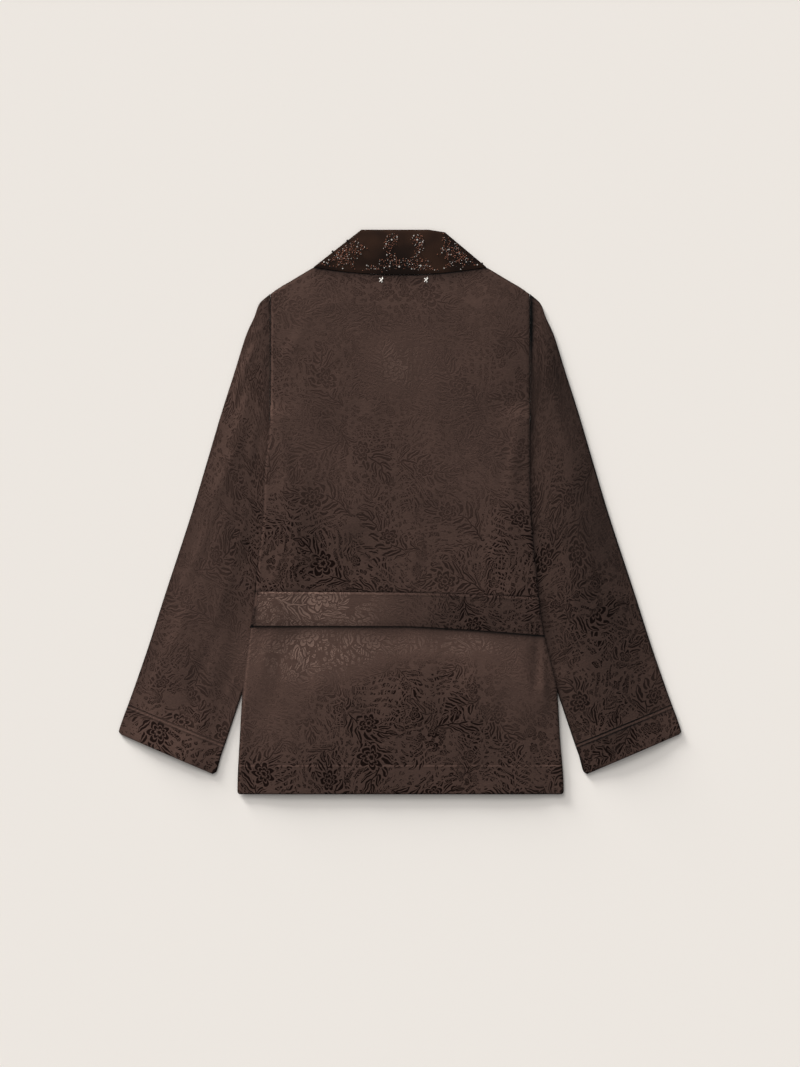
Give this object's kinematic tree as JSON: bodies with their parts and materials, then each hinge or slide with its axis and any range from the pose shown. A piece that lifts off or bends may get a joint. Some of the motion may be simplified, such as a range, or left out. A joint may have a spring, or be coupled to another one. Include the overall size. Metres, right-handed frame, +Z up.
{
  "type": "short kimono-style jacket",
  "caption": "Short kimono-style jacket of figured satin with a beaded collar band and a half belt, laid flat on its front with the back up.",
  "frame": {"origin": "under the middle of the whole jacket, on the surface it lies on", "axes": "+X towards the right sleeve, +Y from the hem to the collar, +Z up from the surface, out of the back"},
  "size_m": [0.815, 0.818, 0.0107],
  "materials": {
    "figured_satin": "satin with a tone-on-tone woven flower pattern",
    "plain_satin": "smooth satin"
  },
  "bodies": {
    "root": {"back": "figured_satin", "front_left": "figured_satin", "front_right": "figured_satin", "sleeve_left": "figured_satin", "sleeve_right": "figured_satin", "cuff_left": "figured_satin", "cuff_right": "figured_satin", "belt_back": "figured_satin", "collar_back": "plain_satin", "band_left": "plain_satin", "band_right": "plain_satin"}
  },
  "joints": []
}
